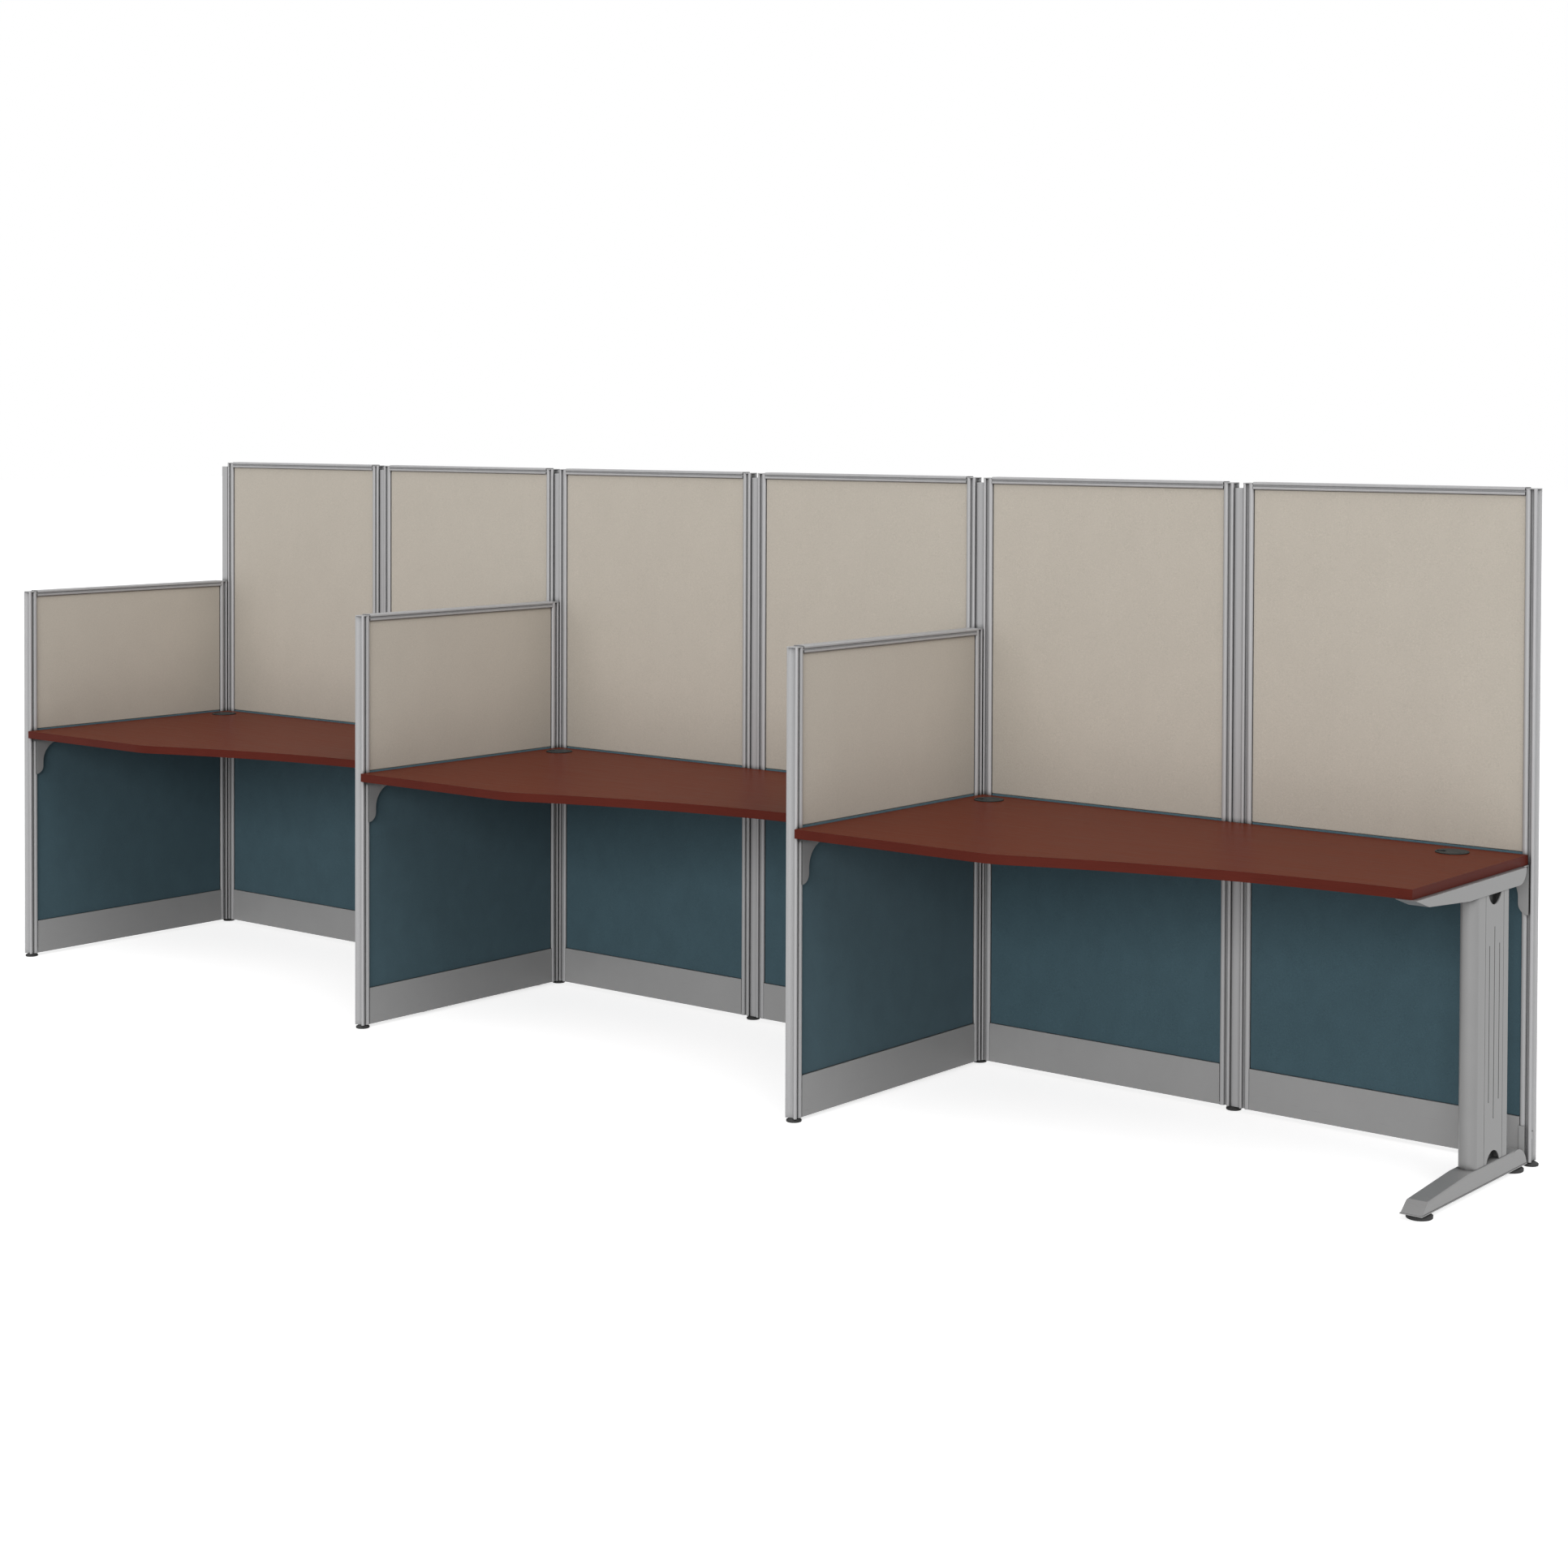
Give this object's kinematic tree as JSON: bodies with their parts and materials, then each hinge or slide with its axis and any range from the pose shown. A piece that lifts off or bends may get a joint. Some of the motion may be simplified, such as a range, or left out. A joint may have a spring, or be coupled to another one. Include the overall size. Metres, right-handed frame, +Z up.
{
  "type": "cubicle workstation",
  "caption": "Straight run of office cubicle stations: framed fabric screens, curved desktops on brackets and C-shaped legs, turning cable grommets and levelling feet.",
  "frame": {"origin": "centre of the bounding box at floor level, under the levelling feet", "axes": "+X along the run of wall screens towards its open end, +Y from the sitters' side towards the wall screens, +Z up"},
  "size_m": [4.835, 0.845, 1.6],
  "materials": {
    "frame_aluminium": "satin, extruded",
    "screen_beige": "fine woven cloth, oatmeal beige",
    "screen_teal": "fine woven cloth, dark teal",
    "kick_grey": "satin light grey",
    "desk_wood": "red-brown wood grain, satin",
    "desk_edge": "dark red edge band, satin",
    "grommet_black": "matt black",
    "leg_grey": "satin light grey",
    "foot_black": "matt dark grey",
    "screw_steel": "zinc plated"
  },
  "bodies": {
    "workstation": {"wall_frame_1": "frame_aluminium", "wall_frame_2": "frame_aluminium", "wall_frame_3": "frame_aluminium", "wall_frame_4": "frame_aluminium", "wall_frame_5": "frame_aluminium", "wall_frame_6": "frame_aluminium", "side_frame_1": "frame_aluminium", "side_frame_2": "frame_aluminium", "side_frame_3": "frame_aluminium", "wall_upper_screen_1": "screen_beige", "wall_upper_screen_2": "screen_beige", "wall_upper_screen_3": "screen_beige", "wall_upper_screen_4": "screen_beige", "wall_upper_screen_5": "screen_beige", "wall_upper_screen_6": "screen_beige", "side_upper_screens": "screen_beige", "wall_lower_screens": "screen_teal", "side_lower_screens": "screen_teal", "wall_kick_plates": "kick_grey", "side_kick_plates": "kick_grey", "upright_caps": "frame_aluminium", "inline_posts": "frame_aluminium", "tee_posts": "frame_aluminium", "corner_post": "frame_aluminium", "desktop_1": "desk_wood", "desktop_2": "desk_wood", "desktop_3": "desk_wood", "desk_edge_bands": "desk_edge", "grommet_liners": "grommet_black", "side_gussets": "leg_grey", "rear_gussets": "leg_grey", "leg_columns": "leg_grey", "leg_arms": "leg_grey", "leg_feet": "leg_grey", "leg_covers": "leg_grey", "desk_screws": "screw_steel"},
    "levelling_foot_1": {"levelling_foot_1": "foot_black"},
    "levelling_foot_2": {"levelling_foot_2": "foot_black"},
    "levelling_foot_3": {"levelling_foot_3": "foot_black"},
    "levelling_foot_4": {"levelling_foot_4": "foot_black"},
    "levelling_foot_5": {"levelling_foot_5": "foot_black"},
    "levelling_foot_6": {"levelling_foot_6": "foot_black"},
    "levelling_foot_7": {"levelling_foot_7": "foot_black"},
    "levelling_foot_8": {"levelling_foot_8": "foot_black"},
    "levelling_foot_9": {"levelling_foot_9": "foot_black"},
    "levelling_foot_10": {"levelling_foot_10": "foot_black"},
    "levelling_foot_11": {"levelling_foot_11": "foot_black"},
    "levelling_foot_12": {"levelling_foot_12": "foot_black"},
    "levelling_foot_13": {"levelling_foot_13": "foot_black"},
    "levelling_foot_14": {"levelling_foot_14": "foot_black"},
    "levelling_foot_15": {"levelling_foot_15": "foot_black"},
    "levelling_foot_16": {"levelling_foot_16": "foot_black"},
    "grommet_lid_1": {"grommet_lid_1": "grommet_black"},
    "grommet_lid_2": {"grommet_lid_2": "grommet_black"},
    "grommet_lid_3": {"grommet_lid_3": "grommet_black"},
    "grommet_lid_4": {"grommet_lid_4": "grommet_black"},
    "grommet_lid_5": {"grommet_lid_5": "grommet_black"},
    "grommet_lid_6": {"grommet_lid_6": "grommet_black"}
  },
  "joints": [
    {"name": "levelling_foot_1_screw", "type": "slide", "parent": "workstation", "child": "levelling_foot_1", "axis": [0, 0, -1], "range_m": [0, 0.012]},
    {"name": "levelling_foot_2_screw", "type": "slide", "parent": "workstation", "child": "levelling_foot_2", "axis": [0, 0, -1], "range_m": [0, 0.012]},
    {"name": "levelling_foot_3_screw", "type": "slide", "parent": "workstation", "child": "levelling_foot_3", "axis": [0, 0, -1], "range_m": [0, 0.012]},
    {"name": "levelling_foot_4_screw", "type": "slide", "parent": "workstation", "child": "levelling_foot_4", "axis": [0, 0, -1], "range_m": [0, 0.012]},
    {"name": "levelling_foot_5_screw", "type": "slide", "parent": "workstation", "child": "levelling_foot_5", "axis": [0, 0, -1], "range_m": [0, 0.012]},
    {"name": "levelling_foot_6_screw", "type": "slide", "parent": "workstation", "child": "levelling_foot_6", "axis": [0, 0, -1], "range_m": [0, 0.012]},
    {"name": "levelling_foot_7_screw", "type": "slide", "parent": "workstation", "child": "levelling_foot_7", "axis": [0, 0, -1], "range_m": [0, 0.012]},
    {"name": "levelling_foot_8_screw", "type": "slide", "parent": "workstation", "child": "levelling_foot_8", "axis": [0, 0, -1], "range_m": [0, 0.012]},
    {"name": "levelling_foot_9_screw", "type": "slide", "parent": "workstation", "child": "levelling_foot_9", "axis": [0, 0, -1], "range_m": [0, 0.012]},
    {"name": "levelling_foot_10_screw", "type": "slide", "parent": "workstation", "child": "levelling_foot_10", "axis": [0, 0, -1], "range_m": [0, 0.012]},
    {"name": "levelling_foot_11_screw", "type": "slide", "parent": "workstation", "child": "levelling_foot_11", "axis": [0, 0, -1], "range_m": [0, 0.008]},
    {"name": "levelling_foot_12_screw", "type": "slide", "parent": "workstation", "child": "levelling_foot_12", "axis": [0, 0, -1], "range_m": [0, 0.008]},
    {"name": "levelling_foot_13_screw", "type": "slide", "parent": "workstation", "child": "levelling_foot_13", "axis": [0, 0, -1], "range_m": [0, 0.008]},
    {"name": "levelling_foot_14_screw", "type": "slide", "parent": "workstation", "child": "levelling_foot_14", "axis": [0, 0, -1], "range_m": [0, 0.008]},
    {"name": "levelling_foot_15_screw", "type": "slide", "parent": "workstation", "child": "levelling_foot_15", "axis": [0, 0, -1], "range_m": [0, 0.008]},
    {"name": "levelling_foot_16_screw", "type": "slide", "parent": "workstation", "child": "levelling_foot_16", "axis": [0, 0, -1], "range_m": [0, 0.008]},
    {"name": "grommet_lid_1_turn", "type": "hinge", "parent": "workstation", "child": "grommet_lid_1", "pos_m": [-2.3045, 0.3075, 0.736], "axis": [0, 0, 1], "continuous": true},
    {"name": "grommet_lid_2_turn", "type": "hinge", "parent": "workstation", "child": "grommet_lid_2", "pos_m": [-0.968, 0.3075, 0.736], "axis": [0, 0, 1], "continuous": true},
    {"name": "grommet_lid_3_turn", "type": "hinge", "parent": "workstation", "child": "grommet_lid_3", "pos_m": [-0.7015, 0.3075, 0.736], "axis": [0, 0, 1], "continuous": true},
    {"name": "grommet_lid_4_turn", "type": "hinge", "parent": "workstation", "child": "grommet_lid_4", "pos_m": [0.635, 0.3075, 0.736], "axis": [0, 0, 1], "continuous": true},
    {"name": "grommet_lid_5_turn", "type": "hinge", "parent": "workstation", "child": "grommet_lid_5", "pos_m": [0.9015, 0.3075, 0.736], "axis": [0, 0, 1], "continuous": true},
    {"name": "grommet_lid_6_turn", "type": "hinge", "parent": "workstation", "child": "grommet_lid_6", "pos_m": [2.238, 0.3075, 0.736], "axis": [0, 0, 1], "continuous": true}
  ]
}
